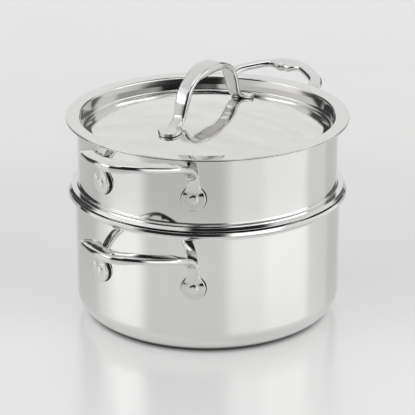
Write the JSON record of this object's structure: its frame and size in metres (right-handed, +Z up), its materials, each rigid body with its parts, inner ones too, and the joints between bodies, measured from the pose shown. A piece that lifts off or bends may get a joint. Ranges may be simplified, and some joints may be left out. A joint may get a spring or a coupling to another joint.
{
  "type": "soup pot with steamer insert",
  "caption": "Round stainless steel soup pot with a stacked steamer insert, riveted loop handles and a domed lid with an arched handle.",
  "frame": {"origin": "middle of the pot's flat base, on the surface it stands on", "axes": "+Z up, the loop handles at -Y (front) and +Y (rear), +X to the right when the front handles are seen head on"},
  "size_m": [0.2322, 0.32, 0.2111],
  "materials": {
    "polished_steel": "polished",
    "polished_sheet": "polished",
    "brushed_lid": "fine brushed disc, polished edge",
    "cast_handle": "polished casting",
    "rivet": "polished"
  },
  "bodies": {
    "pot": {"pot_body": "polished_steel", "pot_handle_front": "cast_handle", "pot_handle_rear": "cast_handle", "pot_rivet_front_left": "rivet", "pot_rivet_front_right": "rivet", "pot_rivet_rear_left": "rivet", "pot_rivet_rear_right": "rivet"},
    "insert": {"insert_body": "polished_sheet", "insert_handle_front": "cast_handle", "insert_handle_rear": "cast_handle", "insert_rivet_front_left": "rivet", "insert_rivet_front_right": "rivet", "insert_rivet_rear_left": "rivet", "insert_rivet_rear_right": "rivet"},
    "lid": {"lid": "brushed_lid", "lid_handle": "cast_handle"}
  },
  "joints": [
    {"name": "insert_lift", "type": "slide", "parent": "pot", "child": "insert", "axis": [0, 0, 1], "range_m": [0, 0.12]},
    {"name": "lid_lift", "type": "slide", "parent": "insert", "child": "lid", "axis": [0, 0, 1], "range_m": [0, 0.12]}
  ]
}
